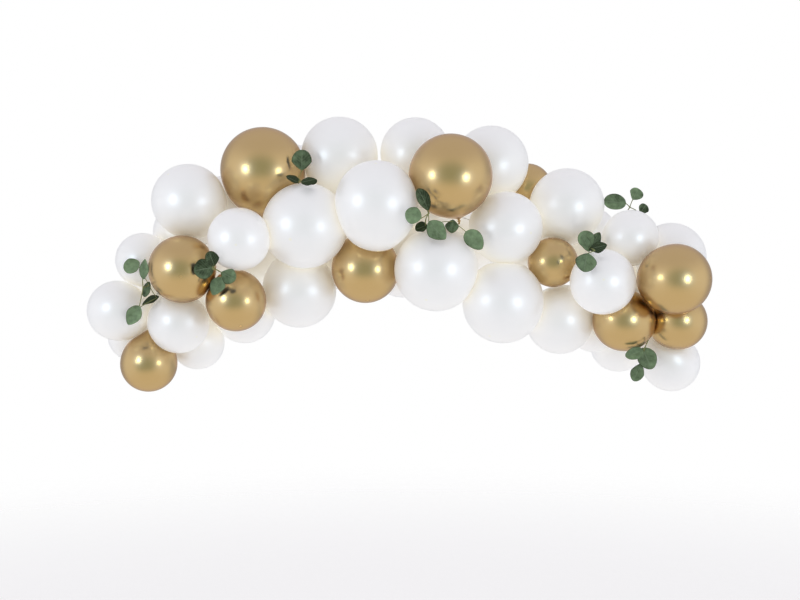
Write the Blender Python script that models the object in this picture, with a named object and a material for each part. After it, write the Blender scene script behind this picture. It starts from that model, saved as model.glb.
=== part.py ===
"""Balloon garland: white and gold latex balloons tied along a perforated strip, with eucalyptus sprigs.

The garland hangs in the XZ plane as an arch. Its front faces -Y, and the origin is on top of the
strip, at the crown of the arch. The tables give places in centimetres: across (+X) and up (+Z).
How far forward or back a balloon or leaf lies follows from what it rests on.

    blender --background --python part.py
"""

import math
from collections import namedtuple

import bmesh
import bpy
from mathutils import Matrix, Vector

CM = 0.01
CLEARANCE = 0.0003

# The strip that carries the balloons: an arch with a steeper left leg than right leg.
STRIP_WIDTH = 0.016
STRIP_THICKNESS = 0.001
STRIP_FLAT_CROWN = 0.055
STRIP_REACH_LEFT = 0.800
STRIP_DROP_LEFT = 0.390
STRIP_ROUNDNESS_LEFT = 2.2
STRIP_REACH_RIGHT = 0.790
STRIP_DROP_RIGHT = 0.400
STRIP_ROUNDNESS_RIGHT = 1.35
STRIP_STATION = 0.050
STRIP_CLEARANCE = 0.0025
STRIP_TRACE_STEPS = 4000
HOLE_DIAMETER = 0.009
HOLE_EVERY = 3
HOLE_FIRST = 1
HOLE_SIDES = 6
HOLE_CUT_DEPTH = 0.010
KNOT_PITCH = 0.025

# The balloon's shape, as shares of its radius.
BALLOON_SEGMENTS = 12
BALLOON_RINGS = 7
SMALL_BALLOON = 0.20
SMALL_BALLOON_SEGMENTS = 10
NECK_RING_CROWDING = 1.35
LOWER_HALF_STRETCH = 1.09
NECK_REACH = 1.30
NECK_LONGEST = 1.48
NECK_HALF_ANGLE = math.radians(15)

# How balloons press on each other.
SQUASH = 0.94
LAYER_DEPTH = 0.06
SETTLE_STEPS = 700
SETTLE_PULL = 0.03
NEIGHBOUR_CONTACT_REACH = 1.5
STRIP_CONTACT_REACH = 2.0

# Eucalyptus.
LEAF_THICKNESS = 0.0014
LEAF_JOINT = 0.15
LEAF_OUTLINE = ((0.0, 0.0), (0.24, 0.42), (0.66, 0.47), (1.0, 0.0))
LEAF_CLEARANCE = 0.005
LEAF_STAGGER = 0.003
STALK_DIAMETER = 0.0030
STALK_SIDES = 3
STALK_LENGTH = 0.10
STALK_STEP = 0.002
STALK_LEANS = 4
STALK_CLEARANCE = 0.006

Balloon = namedtuple("Balloon", "colour diameter across up layer knot stretch", defaults=(None, 1.0))
Leaf = namedtuple("Leaf", "base tip width turn", defaults=(0,))
Sprig = namedtuple("Sprig", "heart behind leaves")

# Layer orders balloons that overlap when seen from the front: a higher layer lies nearer the front.
# Knot is where the neck ends (across, back, up) when that isn't the nearest hole of the strip, and
# stretch lengthens the lower half of a balloon that has been blown longer than it is wide.
LEFT_END = (
    Balloon("white", 18.8, -88.9, -33.1, 2),
    Balloon("white", 17.0, -81.5, -17.1, 1),
    Balloon("gold", 20.6, -66.6, -20.4, 5),
    Balloon("gold", 17.8, -79.7, -50.0, 1),
    Balloon("white", 18.9, -69.2, -37.0, 4),
    Balloon("white", 17.2, -66.0, -43.8, 0),
    Balloon("white", 16.5, -87.3, -41.5, -2),
)
LEFT_SHOULDER = (
    Balloon("white", 22.8, -65.7, 1.0, 1),
    Balloon("gold", 26.7, -43.1, 11.2, 2),
    Balloon("white", 18.8, -48.2, -11.6, 4),
    Balloon("gold", 18.5, -50.4, -30.2, 4),
    Balloon("white", 26.2, -29.2, -7.1, 4),
    Balloon("white", 23.3, -31.9, -26.9, 2),
    Balloon("white", 19.5, -50.1, -34.0, -1),
)
CROWN = (
    Balloon("white", 24.3, -19.2, 16.1, 0),
    Balloon("white", 25.0, -7.1, -0.4, 5, (-7.0, -13.0, -16.5), 1.14),
    Balloon("white", 22.3, 4.9, 17.2, -1),
    Balloon("gold", 21.1, -10.8, -20.2, 2),
    Balloon("white", 25.5, 11.0, -20.5, 4),
    Balloon("gold", 25.1, 15.3, 8.1, 6, (18.6, -13.0, -7.4)),
    Balloon("white", 23.9, 29.0, 13.8, 1),
)
RIGHT_SHOULDER = (
    Balloon("white", 22.5, 32.9, -7.5, 5),
    Balloon("white", 25.0, 31.9, -30.7, 2),
    Balloon("gold", 15.5, 42.1, 7.4, -2),
    Balloon("white", 23.6, 53.0, 0.2, 1),
    Balloon("gold", 15.5, 47.8, -18.0, 4),
    Balloon("white", 21.3, 50.8, -36.3, 0),
    Balloon("white", 17.2, 71.7, -10.4, 0),
    Balloon("white", 19.8, 61.3, -24.3, 5),
)
RIGHT_END = (
    Balloon("gold", 21.4, 83.4, -23.5, 5, (69.0, -10.0, -24.0)),
    Balloon("gold", 19.3, 69.8, -36.1, 3),
    Balloon("gold", 18.0, 87.7, -36.4, 1),
    Balloon("white", 22.0, 86.5, -16.2, -2),
    Balloon("white", 14.5, 63.2, -39.6, -1),
    Balloon("white", 18.5, 73.5, -44.7, -2),
    Balloon("white", 18.6, 87.9, -50.1, -1, (77.5, 4.0, -39.0), 1.15),
)
BACK_ROW = (
    Balloon("white", 17.5, -78.5, -27.0, -4),
    Balloon("white", 17.5, -71.4, -7.5, -3),
    Balloon("white", 18.5, -57.0, 1.5, -3),
    Balloon("white", 17.0, -64.0, -17.0, -4),
    Balloon("white", 18.0, -60.5, -32.0, -3),
    Balloon("white", 25.0, -45.8, -12.3, -3),
    Balloon("white", 18.0, -33.0, 12.5, -3),
    Balloon("white", 20.5, -21.5, -16.0, -4),
    Balloon("white", 23.0, -15.0, 3.0, -4),
    Balloon("white", 23.0, 1.0, -17.5, -4),
    Balloon("white", 21.0, 9.0, 1.5, -4),
    Balloon("white", 22.5, 21.5, -11.5, -4),
    Balloon("white", 20.0, 38.0, -11.0, -3),
    Balloon("white", 24.0, 62.0, -9.6, -4),
    Balloon("white", 20.5, 72.5, -25.0, -3),
)
BALLOONS = LEFT_END + LEFT_SHOULDER + CROWN + RIGHT_SHOULDER + RIGHT_END + BACK_ROW

# An edge between faces that meet at more than this angle is shown sharp.
SHARP_EDGE = math.radians(50)

# Finish: colour, roughness and metallic value.
FINISHES = {
    "white": ((0.90, 0.90, 0.91), 0.35, 0.0),
    "gold": ((0.69, 0.47, 0.22), 0.22, 1.0),
    "leaf": ((0.12, 0.21, 0.13), 0.55, 0.0),
    "strip": ((0.85, 0.86, 0.86), 0.40, 0.0),
}

# A sprig's heart is where its stalks part (across, back, up), and its leaves go from base to tip,
# measured from the heart. A leaf turned about its own length shows more of its edge.
SPRIGS = (
    Sprig((-30.1, -10.0, 6.4), False, (
        Leaf((-0.5, -0.9), (-4.3, 1.1), 4.0, 55),
        Leaf((0.5, -1.0), (4.8, 0.0), 3.6, 55),
        Leaf((2.6, -0.9), (5.2, -0.2), 2.0, 30),
        Leaf((0.1, 3.4), (0.2, 9.8), 6.2),
    )),
    Sprig((-77.3, -8.0, -26.0), False, (
        Leaf((0.6, 8.6), (0.2, 2.4), 3.4, 20),
        Leaf((-3.1, 8.0), (-7.7, 5.3), 4.6),
        Leaf((2.8, -2.8), (-2.5, -5.3), 3.6, 45),
        Leaf((-0.8, 1.9), (-2.2, -2.9), 2.8, 20),
        Leaf((-2.5, -5.6), (-5.9, -11.4), 4.8),
    )),
    Sprig((-54.8, -18.0, -20.7), False, (
        Leaf((0.5, 0.8), (-1.1, 5.1), 4.2, 20),
        Leaf((1.9, -0.9), (6.2, -3.2), 4.9),
        Leaf((1.9, -2.2), (-1.2, -7.6), 4.6),
        Leaf((-0.5, 0.5), (-6.3, -0.5), 6.1),
    )),
    Sprig((8.4, -18.0, -4.6), False, (
        Leaf((-0.2, -2.6), (-3.8, -4.0), 3.7, 30),
        Leaf((0.0, 1.2), (-3.2, 7.6), 4.1, 15),
        Leaf((7.5, -1.1), (7.1, -5.2), 4.2, 10),
        Leaf((11.3, -4.7), (16.2, -9.9), 5.4),
        Leaf((0.1, -2.0), (5.1, -7.2), 5.8),
        Leaf((-2.2, -1.4), (-6.8, 0.4), 5.1),
    )),
    Sprig((57.1, -12.0, -15.3), False, (
        Leaf((-0.3, 0.0), (-2.7, 5.0), 3.3, 20),
        Leaf((2.0, 2.1), (4.5, 6.4), 3.5, 10),
        Leaf((-1.3, 0.5), (4.2, 1.8), 3.9, 30),
        Leaf((0.2, 1.7), (0.1, 6.9), 5.3),
        Leaf((-2.0, -0.8), (-3.1, -6.3), 6.4),
    )),
    Sprig((74.1, 3.0, 0.1), True, (
        Leaf((-1.1, 1.3), (-8.3, 2.0), 5.3, 10),
        Leaf((1.1, 2.5), (2.9, 6.1), 4.9, 15),
        Leaf((3.3, -1.9), (5.2, 0.9), 3.6, 10),
    )),
    Sprig((76.2, -7.0, -42.2), False, (
        Leaf((-1.5, -2.9), (-7.0, -5.0), 3.9, 15),
        Leaf((-0.4, -7.4), (-3.0, -13.0), 4.4),
        Leaf((-0.3, -2.6), (2.8, -9.2), 6.1),
    )),
)


class Settled:
    """A balloon with its place worked out: centre, radius and the direction of its neck."""

    def __init__(self, row):
        self.colour = row.colour
        self.layer = row.layer
        self.radius = row.diameter * CM / 2
        self.centre = Vector((row.across * CM, -LAYER_DEPTH * row.layer, row.up * CM))
        self.knot = None
        self.neck = None
        self.planes = []
        self.stretch = row.stretch * LOWER_HALF_STRETCH
        if row.knot:
            self.knot = CM * Vector(row.knot)


def clear_scene():
    """Removes whatever the scene holds."""
    for found in list(bpy.data.objects):
        bpy.data.objects.remove(found)


def strip_height(across):
    """Height of the strip's top face at a distance across from the crown."""
    left = across < 0
    reach = STRIP_REACH_LEFT if left else STRIP_REACH_RIGHT
    drop = STRIP_DROP_LEFT if left else STRIP_DROP_RIGHT
    roundness = STRIP_ROUNDNESS_LEFT if left else STRIP_ROUNDNESS_RIGHT
    share = min(1.0, max(0.0, abs(across) - STRIP_FLAT_CROWN) / (reach - STRIP_FLAT_CROWN))
    return -drop * (1 - (1 - share ** roundness) ** (1 / roundness))


def strip_leg(reach, spacing):
    """Points at even spacing along the strip from the crown to the end at reach."""
    points = [Vector((0.0, 0.0, 0.0))]
    before = points[0]
    walked = 0.0
    for step in range(1, STRIP_TRACE_STEPS + 1):
        across = reach * math.sin(step / STRIP_TRACE_STEPS * math.pi / 2)
        here = Vector((across, 0.0, strip_height(across)))
        walked += (here - before).length
        before = here
        if walked >= spacing * len(points):
            points.append(here)
    return points


def strip_points(spacing):
    """Points at even spacing along the whole strip, from the left end to the right end."""
    left = strip_leg(-STRIP_REACH_LEFT, spacing)
    right = strip_leg(STRIP_REACH_RIGHT, spacing)
    return left[:0:-1] + right


def strip_normals(points):
    """The direction square to the strip, away from the inside of the arch, at each point."""
    normals = []
    for index in range(len(points)):
        along = points[min(index + 1, len(points) - 1)] - points[max(index - 1, 0)]
        normals.append(Vector((-along.z, 0.0, along.x)).normalized())
    return normals


def settle(rows):
    """Finds the depth of each balloon: necks draw them to the strip until they rest on each other."""
    balloons = [Settled(row) for row in rows]
    course = strip_points(KNOT_PITCH / 2)
    for balloon in balloons:
        balloon.off_strip = min(math.hypot(balloon.centre.x - point.x, balloon.centre.z - point.z)
                                for point in course)
    for step in range(SETTLE_STEPS):
        pull = SETTLE_PULL * (1 - step / SETTLE_STEPS)
        for balloon in balloons:
            balloon.centre.y *= 1 - pull
        for index, first in enumerate(balloons):
            for second in balloons[index + 1:]:
                part_pair(first, second)
        for balloon in balloons:
            keep_off_strip(balloon)
    return balloons


def part_pair(first, second):
    """Moves two balloons apart in depth until they only press on each other lightly."""
    touching = SQUASH * (first.radius + second.radius)
    beside = math.hypot(first.centre.x - second.centre.x, first.centre.z - second.centre.z)
    if beside >= touching:
        return
    needed = math.sqrt(touching ** 2 - beside ** 2)
    front, back = (first, second) if first.layer >= second.layer else (second, first)
    missing = needed - (back.centre.y - front.centre.y)
    if missing > 0:
        front.centre.y -= missing / 2
        back.centre.y += missing / 2


def keep_off_strip(balloon):
    """Keeps a balloon's skin clear of the strip."""
    clear = SQUASH * balloon.radius + STRIP_WIDTH / 2
    if balloon.off_strip >= clear:
        return
    depth = math.sqrt(clear ** 2 - balloon.off_strip ** 2)
    if abs(balloon.centre.y) < depth:
        balloon.centre.y = -depth if balloon.layer > 0 else depth


def tie_knots(balloons):
    """Gives each balloon a hole of its own in the strip and turns its neck towards the hole."""
    free = strip_points(KNOT_PITCH)
    for balloon in sorted(balloons, key=lambda each: min((hole - each.centre).length for hole in free)):
        if balloon.knot is None:
            reach = NECK_REACH * balloon.radius
            balloon.knot = min(free, key=lambda each: abs((each - balloon.centre).length - reach))
            free.remove(balloon.knot)
        balloon.neck = (balloon.knot - balloon.centre).normalized()


def find_contacts(balloons):
    """Lists the flat places where each balloon meets its neighbours and the strip."""
    course = strip_points(KNOT_PITCH / 2)
    normals = strip_normals(course)
    for balloon in balloons:
        for other in balloons:
            if other is balloon:
                continue
            apart = other.centre - balloon.centre
            if apart.length < NEIGHBOUR_CONTACT_REACH * (balloon.radius + other.radius):
                share = (apart.length_squared + balloon.radius ** 2 - other.radius ** 2) / (2 * apart.length)
                balloon.planes.append((apart.normalized(), share - CLEARANCE / 2))
        for point, normal in zip(course, normals):
            apart = point - balloon.centre
            if apart.length < STRIP_CONTACT_REACH * balloon.radius:
                facing = apart.normalized()
                half = STRIP_WIDTH / 2 * abs(facing.y) + STRIP_THICKNESS * abs(facing.dot(normal))
                balloon.planes.append((facing, apart.length - half - STRIP_CLEARANCE))


def skin_distance(balloon, direction, from_neck):
    """Distance from a balloon's centre to its skin in a direction, from_neck being its angle to the neck."""
    stretch = balloon.stretch if from_neck < math.pi / 2 else 1.0
    body = balloon.radius / math.hypot(math.sin(from_neck), math.cos(from_neck) / stretch)
    reach = min((balloon.knot - balloon.centre).length, NECK_LONGEST * balloon.radius)
    neck = max(0.0, reach - balloon.stretch * balloon.radius)
    distance = body + neck * math.exp(-(from_neck / NECK_HALF_ANGLE) ** 2)
    for facing, limit in balloon.planes:
        towards = direction.dot(facing)
        if towards > 0:
            distance = min(distance, limit / towards)
    return distance


def shape_balloon(name, balloon):
    """One balloon: a sphere drawn out to its neck and flattened where it meets a neighbour."""
    turn = Vector((0, 0, -1)).rotation_difference(balloon.neck).to_matrix()
    segments = SMALL_BALLOON_SEGMENTS if 2 * balloon.radius < SMALL_BALLOON else BALLOON_SEGMENTS
    shape = bmesh.new()
    bmesh.ops.create_uvsphere(shape, u_segments=segments, v_segments=BALLOON_RINGS, radius=1.0)
    for vertex in shape.verts:
        even = math.acos(max(-1.0, min(1.0, -vertex.co.z)))
        from_neck = math.pi * (even / math.pi) ** NECK_RING_CROWDING
        around = math.atan2(vertex.co.y, vertex.co.x)
        ring = math.sin(from_neck)
        direction = Vector((ring * math.cos(around), ring * math.sin(around), -math.cos(from_neck)))
        vertex.co = direction * skin_distance(balloon, turn @ direction, from_neck)
    made = add_piece(name, shape, balloon.colour)
    made.matrix_world = Matrix.Translation(balloon.centre) @ turn.to_4x4()
    return made


def add_piece(name, shape, finish):
    """Turns a bmesh into a named object with a material of its own."""
    mesh = bpy.data.meshes.new(name)
    bmesh.ops.recalc_face_normals(shape, faces=shape.faces)
    shape.to_mesh(mesh)
    shape.free()
    mesh.shade_smooth()
    mesh.set_sharp_from_angle(angle=SHARP_EDGE)
    made = bpy.data.objects.new(name, mesh)
    bpy.context.scene.collection.objects.link(made)
    colour, roughness, metallic = FINISHES[finish]
    material = bpy.data.materials.new(name)
    material.use_nodes = True
    surface = material.node_tree.nodes["Principled BSDF"]
    surface.inputs["Base Color"].default_value = (*colour, 1.0)
    surface.inputs["Roughness"].default_value = roughness
    surface.inputs["Metallic"].default_value = metallic
    mesh.materials.append(material)
    return made


def shape_strip():
    """The strip: a thin band bent to the arch, its flat faces up and down, with a row of holes."""
    points = strip_points(STRIP_STATION)
    normals = strip_normals(points)
    shape = bmesh.new()
    sections = []
    for point, normal in zip(points, normals):
        corners = []
        for side, level in ((-1, -1), (1, -1), (1, 0), (-1, 0)):
            place = point + Vector((0, side * STRIP_WIDTH / 2, 0)) + level * STRIP_THICKNESS * normal
            corners.append(shape.verts.new(place))
        sections.append(corners)
    for before, after in zip(sections, sections[1:]):
        for side in range(4):
            shape.faces.new((before[side], before[side - 1], after[side - 1], after[side]))
    shape.faces.new(sections[0])
    shape.faces.new(sections[-1])
    strip = add_piece("garland_strip", shape, "strip")
    cut = strip.modifiers.new("holes", "BOOLEAN")
    cut.object = hole_cutter(points)
    return strip


def hole_cutter(points):
    """Short pins through every third stretch of the strip, one for each hole."""
    shape = bmesh.new()
    crown = points.index(min(points, key=lambda point: abs(point.x)))
    for index in range(len(points) - 1):
        stretch = index - crown if index >= crown else crown - 1 - index
        if stretch % HOLE_EVERY != HOLE_FIRST:
            continue
        middle = (points[index] + points[index + 1]) / 2
        along = (points[index + 1] - points[index]).normalized()
        upright = Vector((-along.z, 0, along.x))
        stand = Matrix((along, Vector((0, 1, 0)), upright)).transposed().to_4x4()
        bmesh.ops.create_cone(shape, cap_ends=True, segments=HOLE_SIDES, radius1=HOLE_DIAMETER / 2,
                              radius2=HOLE_DIAMETER / 2, depth=HOLE_CUT_DEPTH,
                              matrix=Matrix.Translation(middle) @ stand)
    cutter = add_piece("hole_cutter", shape, "strip")
    cutter.hide_render = True
    cutter.display_type = "WIRE"
    return cutter


def leaf_place(leaf, heart, behind, balloons):
    """Where a leaf lies: its base, and its directions along, across and out of its face."""
    base = Vector((heart.x + leaf.base[0] * CM, heart.y, heart.z + leaf.base[1] * CM))
    tip = Vector((heart.x + leaf.tip[0] * CM, heart.y, heart.z + leaf.tip[1] * CM))
    along = (tip - base).normalized()
    outward = Matrix.Rotation(math.radians(leaf.turn), 3, along) @ Vector((0, -1, 0))
    across = outward.cross(along)
    moves = []
    for share, half in LEAF_OUTLINE:
        for side in (-1, 0, 1):
            point = base + share * (tip - base) + side * half * leaf.width * CM * across
            moves.append(rest_depth(point, heart.y, behind, balloons) - point.y)
    base.y += max(moves) if behind else min(moves)
    return base, (tip.xz - base.xz).length, along, across, outward


def rest_depth(point, depth, behind, balloons):
    """The depth at which a point rests against the balloons, starting from the depth of the sprig's heart."""
    for balloon in balloons:
        beside = math.hypot(point.x - balloon.centre.x, point.z - balloon.centre.z)
        reach = balloon.radius + LEAF_CLEARANCE
        if beside < reach:
            bulge = math.sqrt(reach ** 2 - beside ** 2)
            if behind and balloon.centre.y < depth:
                depth = max(depth, balloon.centre.y + bulge)
            if not behind:
                depth = min(depth, balloon.centre.y - bulge)
    return depth


def add_leaf(shape, leaf, place):
    """Adds one leaf to a bmesh: a flat plate with a rounded outline."""
    base, length, along, across, outward = place
    outline = list(LEAF_OUTLINE)
    outline += [(share, -half) for share, half in reversed(LEAF_OUTLINE[1:-1])]
    faces = []
    for level in (-0.5, 0.5):
        corners = []
        for share, half in outline:
            spot = base + share * length * along + half * leaf.width * CM * across
            corners.append(shape.verts.new(spot + level * LEAF_THICKNESS * outward))
        faces.append(corners)
        shape.faces.new(corners)
    for index in range(len(outline)):
        shape.faces.new((faces[0][index], faces[0][index - 1], faces[1][index - 1], faces[1][index]))


def add_stalk(shape, start, end):
    """Adds one straight stalk to a bmesh."""
    along = end - start
    turn = Vector((0, 0, 1)).rotation_difference(along).to_matrix().to_4x4()
    bmesh.ops.create_cone(shape, cap_ends=True, segments=STALK_SIDES, radius1=STALK_DIAMETER / 2,
                          radius2=STALK_DIAMETER / 2, depth=along.length + STALK_DIAMETER / 2,
                          matrix=Matrix.Translation((start + end) / 2) @ turn)


def stalk_root(heart, balloons):
    """Where the stalk below the heart ends: as near to the strip as the gaps between balloons allow."""
    goal = min(strip_points(KNOT_PITCH), key=lambda point: (point - heart).length)
    straight = (goal - heart).normalized()
    ends = []
    for lean in range(STALK_LEANS + 1):
        aim = Vector((0, 1, 0)).lerp(straight, lean / STALK_LEANS).normalized()
        end = heart + STALK_STEP * aim
        while (end - heart).length < STALK_LENGTH and all(
                (end - each.centre).length > each.radius + STALK_CLEARANCE for each in balloons):
            end += STALK_STEP * aim
        ends.append(end)
    return min(ends, key=lambda end: (end - goal).length)


def shape_sprig(name, sprig, balloons):
    """One sprig: leaves resting on the balloons, and stalks that join each leaf to the nearest one."""
    heart = CM * Vector(sprig.heart)
    leaves = bmesh.new()
    bases = []
    for index, leaf in enumerate(sprig.leaves):
        place = list(leaf_place(leaf, heart, sprig.behind, balloons))
        place[0].y -= index * LEAF_STAGGER
        add_leaf(leaves, leaf, place)
        bases.append(place[0] + LEAF_JOINT * place[1] * place[2])
    made = add_piece(name, leaves, "leaf")
    heart.y = min(base.y for base in bases)
    stalks = bmesh.new()
    add_stalk(stalks, heart, stalk_root(heart, balloons))
    joined = [heart]
    while bases:
        start, end = min(((start, end) for start in joined for end in bases),
                         key=lambda pair: (pair[0] - pair[1]).length)
        add_stalk(stalks, start, end)
        bases.remove(end)
        joined.append(end)
    guide = add_piece(f"{name}_stalks", stalks, "leaf")
    guide.hide_render = True
    guide.display_type = "WIRE"
    union = made.modifiers.new("stalks", "BOOLEAN")
    union.operation = "UNION"
    union.use_self = True
    union.object = guide
    return made


def main():
    clear_scene()
    balloons = settle(BALLOONS)
    tie_knots(balloons)
    find_contacts(balloons)
    counts = {"white": 0, "gold": 0}
    for balloon in balloons:
        counts[balloon.colour] += 1
        shape_balloon(f"{balloon.colour}_balloon_{counts[balloon.colour]:02d}", balloon)
    shape_strip()
    for number, sprig in enumerate(SPRIGS, start=1):
        shape_sprig(f"eucalyptus_sprig_{number}", sprig, balloons)


main()
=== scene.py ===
"""Balloon garland: the finished look of its latex balloons, its strip and its eucalyptus, in a pale studio.

The solids of the garland say where everything is. Each balloon's round skin and neck are read back from
its solid, then blown up again as a fine skin that is pleated into its neck, knotted, and pressed flat
against its neighbours. The strip is punched with all of its holes, and the leaves are folded and veined.
"""

import functools
import math

import bpy
import numpy as np
from bpy.props import FloatProperty, FloatVectorProperty, IntProperty, PointerProperty
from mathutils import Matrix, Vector, geometry


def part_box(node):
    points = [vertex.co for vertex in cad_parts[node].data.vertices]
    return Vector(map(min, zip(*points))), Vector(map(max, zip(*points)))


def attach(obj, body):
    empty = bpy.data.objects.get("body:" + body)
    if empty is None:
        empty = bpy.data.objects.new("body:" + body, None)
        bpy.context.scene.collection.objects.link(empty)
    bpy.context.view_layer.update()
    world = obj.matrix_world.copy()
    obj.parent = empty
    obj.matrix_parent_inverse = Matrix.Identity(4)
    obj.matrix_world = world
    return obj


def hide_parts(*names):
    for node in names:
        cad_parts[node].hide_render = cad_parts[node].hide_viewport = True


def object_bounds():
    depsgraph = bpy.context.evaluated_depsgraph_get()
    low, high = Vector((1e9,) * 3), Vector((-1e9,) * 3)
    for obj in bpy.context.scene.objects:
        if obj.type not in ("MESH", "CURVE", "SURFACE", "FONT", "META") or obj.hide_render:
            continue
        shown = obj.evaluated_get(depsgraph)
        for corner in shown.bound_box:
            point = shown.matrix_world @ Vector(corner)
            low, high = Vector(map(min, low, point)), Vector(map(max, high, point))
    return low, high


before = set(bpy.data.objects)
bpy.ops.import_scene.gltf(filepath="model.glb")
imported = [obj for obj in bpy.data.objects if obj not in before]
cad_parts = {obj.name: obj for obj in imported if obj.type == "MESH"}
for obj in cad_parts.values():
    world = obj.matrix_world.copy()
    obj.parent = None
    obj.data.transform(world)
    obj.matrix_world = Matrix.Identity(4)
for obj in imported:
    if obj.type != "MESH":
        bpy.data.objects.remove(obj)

bl_info = {
    "name": "Balloon Garland",
    "version": (1, 0, 0),
    "blender": (4, 5, 0),
    "location": "3D View > Sidebar > Garland",
    "description": "Dresses a garland of latex balloons, its strip and its eucalyptus",
    "category": "Object",
}

MM = 0.001
CAD_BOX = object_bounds()
CENTRE = (CAD_BOX[0] + CAD_BOX[1]) / 2

# Reading a balloon's solid: its sphere is found by trial, through four corners at a time.
SEED = 7
SPHERE_TRIES = 20000
THINNEST_PICK = 1e-5
SKIN_TOLERANCE = 2.5e-5
RING_GAP = math.radians(0.4)
NECK_CAP = math.radians(5)
STRETCH_BAND = (math.radians(50), math.radians(64))
LEAST_DRAWN = 0.01

# Where neighbours touch: how near they count, as a share of their radii, and how rays meet their flats.
PRESS_REACH = 1.5
SHELTER_REACH = 2.0
# The shelter of a skin among its neighbours sets where the white balloons get painted glow and painted
# cream shade.
SHELTER_BEND = 1.2
LEAST_FACING = 0.02
BEYOND = 9.0

# A balloon's neck and knot: (along, out) in millimetres from the neck, over the rolled lip and back inside.
KNOT = ((3.0, 3.9), (4.6, 4.3), (5.4, 5.6), (6.8, 6.6), (8.6, 6.9), (10.4, 6.4), (11.6, 5.1),
        (12.2, 3.5), (13.6, 3.2), (15.6, 3.9), (18.0, 5.0), (20.4, 6.3), (21.6, 7.2), (22.3, 8.1),
        (23.2, 8.3), (23.7, 7.6), (23.2, 6.8), (21.8, 6.2), (19.0, 4.6), (16.0, 2.6), (14.6, 1.2))
KNOT_LENGTH = 23.7 * MM
KNOT_SHARE = 0.58
LARGEST_KNOT = 1.1
FLARE_FROM = math.radians(25)
FLARE_RINGS = 12
STUB_RINGS = 9
STUB_WIDTH = math.radians(15)
NECK_SLACK = 0.75
NECK_SLACK_WIDTH = math.radians(11)
CROWN_SLACK = 0.85
CROWN_SPOT = math.radians(2.2)

# Along the knot, from 0 at the neck to 1 at the lip: where it is tied, and where its tail is pleated.
TIED_FROM = 0.2
TIED_TO = 0.5
TAIL_PLEATS_FROM = 0.55
TAIL_PLEATS = 0.6
TIE_LUMP = 0.10
TIE_TWIST = 8
TAIL_WIDER = 0.5
TAIL_FLATTER = 0.6
TAIL_LEAN = 14 * MM
STEEP = 0.9

# The strip.
STRIP_THICKNESS = 1 * MM
FLATS_STEP = 12.5 * MM
BEND_STEP = 1 * MM
CURVE_STEPS = 40
CELL_SIDE_FACES = 6
SHARP_EDGE = math.radians(40)

# Reading a sprig's solid.
SAME_SLOPE = 0.003
SAME_LEVEL = 3e-5
LEAF_FACE = 2e-4
LEAF_CORNERS = 6
LEAST_TURN = 0.05
LEAST_WIDTH = 10 * MM
LEAF_SHOULDER = 0.94
LEAF_JOINT = 0.15
LEAF_PLATE = 1.4 * MM
ON_PLATE = 0.3 * MM
JOINT_REACH = 4.5 * MM
HEART_CLEAR = 8 * MM

# Leaves: how one differs from the next, as least and most.
LEAF_SEED = 3180
WIDEST_AT = (0.40, 0.54)
BASE_ROUNDNESS = (1.2, 2.0)
TIP_ROUNDNESS = (1.3, 2.1)
FOLD_SHARE = (0.6, 1.3)
WAVE_SHARE = (0.3, 1.0)
WAVES_ALONG = (1.2, 2.2)
CURL = (-0.01, 0.10)
SWAY = (-0.03, 0.03)
DUST = (-0.05, 0.50)

# Leaves: what they share.
LEAF_ROWS = 30
LEAF_COLUMNS = 18
LEAF_ENDS = (0.06, math.pi - 0.04)
WAVE_HEIGHT = 1.1 * MM
FOLD_ROUNDING = 0.004
CURL_ABOUT = 0.35
MIDRIB_DEPTH = 0.35 * MM
MIDRIB_WIDTH = 0.9 * MM
SIDE_VEINS = 7.0
VEIN_SLANT = 2.6
QUILT_HEIGHT = 0.22 * MM
# Painted shade: a leaf turned away from the front has less bloom and so looks darker.
PAINTED_SHADE_BY_TILT = 1.4

# Stems.
STEM_SIDES = 8
STEM_STEPS = 14
STEM_BOW = 0.05
STEM_BEHIND_LEAF = 1.3 * MM
JOINT_SWELL = 0.35
JOINT_LENGTH = 2.5 * MM
STEM_ROUND_END = 0.6
STEM_TAPER = 0.85
BRANCH_TAPER = 0.9
STALK_TAPER = 0.7

# The studio.
FLOOR_REACH = 7.5
FLOOR_FADE = (0.35 * FLOOR_REACH, 0.98 * FLOOR_REACH)
FLOOR_GLOW = 0.20
FLOOR_COLOUR = (0.93, 0.93, 0.93)
FLOOR_RINGS = 24
FLOOR_SEGMENTS = 96
LIGHT_PLACES = {"light_left": (-1.70, -1.60, 0.0), "light_right": (1.50, -1.80, -0.25)}
WHITE = (1.0, 1.0, 1.0)


def a_colour(name, description, default):
    return FloatVectorProperty(
        name=name, description=description, default=default, subtype="COLOR", min=0, max=1)


def a_length(name, description, default):
    return FloatProperty(name=name, description=description, default=default, unit="LENGTH")


def a_share(name, description, default):
    return FloatProperty(name=name, description=description, default=default, subtype="FACTOR")


class BalloonShape(bpy.types.PropertyGroup):
    """Sizes of the balloons' skins and necks."""

    segments: IntProperty(name="Segments", description="Faces around", default=92, min=24)
    rings: IntProperty(name="Rings", description="Rings between crown and neck", default=56, min=16)
    pressed_edge: a_share(
        "Pressed edge", "Roundness of the edge of a pressed flat, as a share of the radius", 0.055)
    gap: a_length("Gap", "Space kept between two skins", 0.3 * MM)
    strip_gap: a_length("Strip gap", "Space kept between a skin and the strip", 2.5 * MM)
    neck_radius: a_length("Neck radius", "Radius of the neck above its knot", 4.6 * MM)
    neck_flare: FloatProperty(
        name="Neck flare", description="How fast the neck opens into the skin",
        default=math.radians(8), subtype="ANGLE")
    shortest_neck: a_length(
        "Shortest neck", "A shorter neck is pressed shut between its neighbours", 20 * MM)
    pleats: IntProperty(name="Pleats", description="Pleats gathered into the knot", default=7, min=0)
    pleat_depth: a_share("Pleat depth", "Depth of a pleat as a share of the neck", 0.10)


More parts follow.
